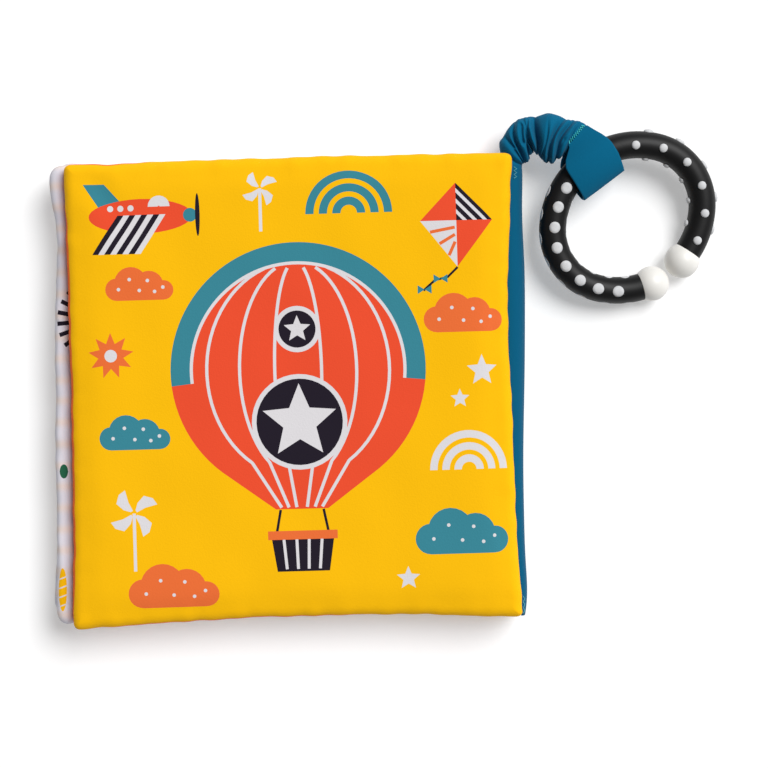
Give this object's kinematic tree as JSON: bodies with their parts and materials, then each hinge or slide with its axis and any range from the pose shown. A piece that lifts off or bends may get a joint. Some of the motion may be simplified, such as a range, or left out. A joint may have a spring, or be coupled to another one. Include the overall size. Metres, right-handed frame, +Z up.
{
  "type": "padded cloth baby book with teether ring",
  "caption": "Soft padded cloth book lying shut, with puffy inner leaves, a bowed spine and a gathered strap whose flat loop holds an oval split teether ring.",
  "frame": {"origin": "middle of the back cover's flat underside, on the surface that the shut book lies on", "axes": "+Z up through the shut book, +Y towards its head, +X towards its spine"},
  "size_m": [0.2339, 0.1785, 0.024],
  "materials": {
    "cover_cloth": "printed woven polyester over wadding, warm yellow ground",
    "page_cloth": "printed woven polyester, white ground with pale stripes",
    "spine_cloth": "woven polyester dyed deep teal",
    "ring_black": "matt black moulded silicone",
    "ring_white": "satin off-white moulding"
  },
  "bodies": {
    "book_block": {"pages": "page_cloth", "spine": "spine_cloth", "strap": "spine_cloth"},
    "front_cover": {"front_cover": "cover_cloth"},
    "back_cover": {"back_cover": "cover_cloth"},
    "ring": {"ring_sleeve": "ring_black", "ring_balls": "ring_white", "ring_nubs": "ring_white"}
  },
  "joints": [
    {"name": "front_cover_hinge", "type": "hinge", "parent": "book_block", "child": "front_cover", "pos_m": [0.0793, 0, 0.024], "axis": [0, 1, 0], "range_deg": [0, 180]},
    {"name": "back_cover_hinge", "type": "hinge", "parent": "book_block", "child": "back_cover", "pos_m": [0.0773, 0, 0], "axis": [0, -1, 0], "range_deg": [0, 175]},
    {"name": "ring_swing", "type": "hinge", "parent": "book_block", "child": "ring", "pos_m": [0.10264, 0.07998, 0.01376], "axis": [0.0941, -0.1249, 0.9877], "range_deg": [-8, 8]}
  ]
}
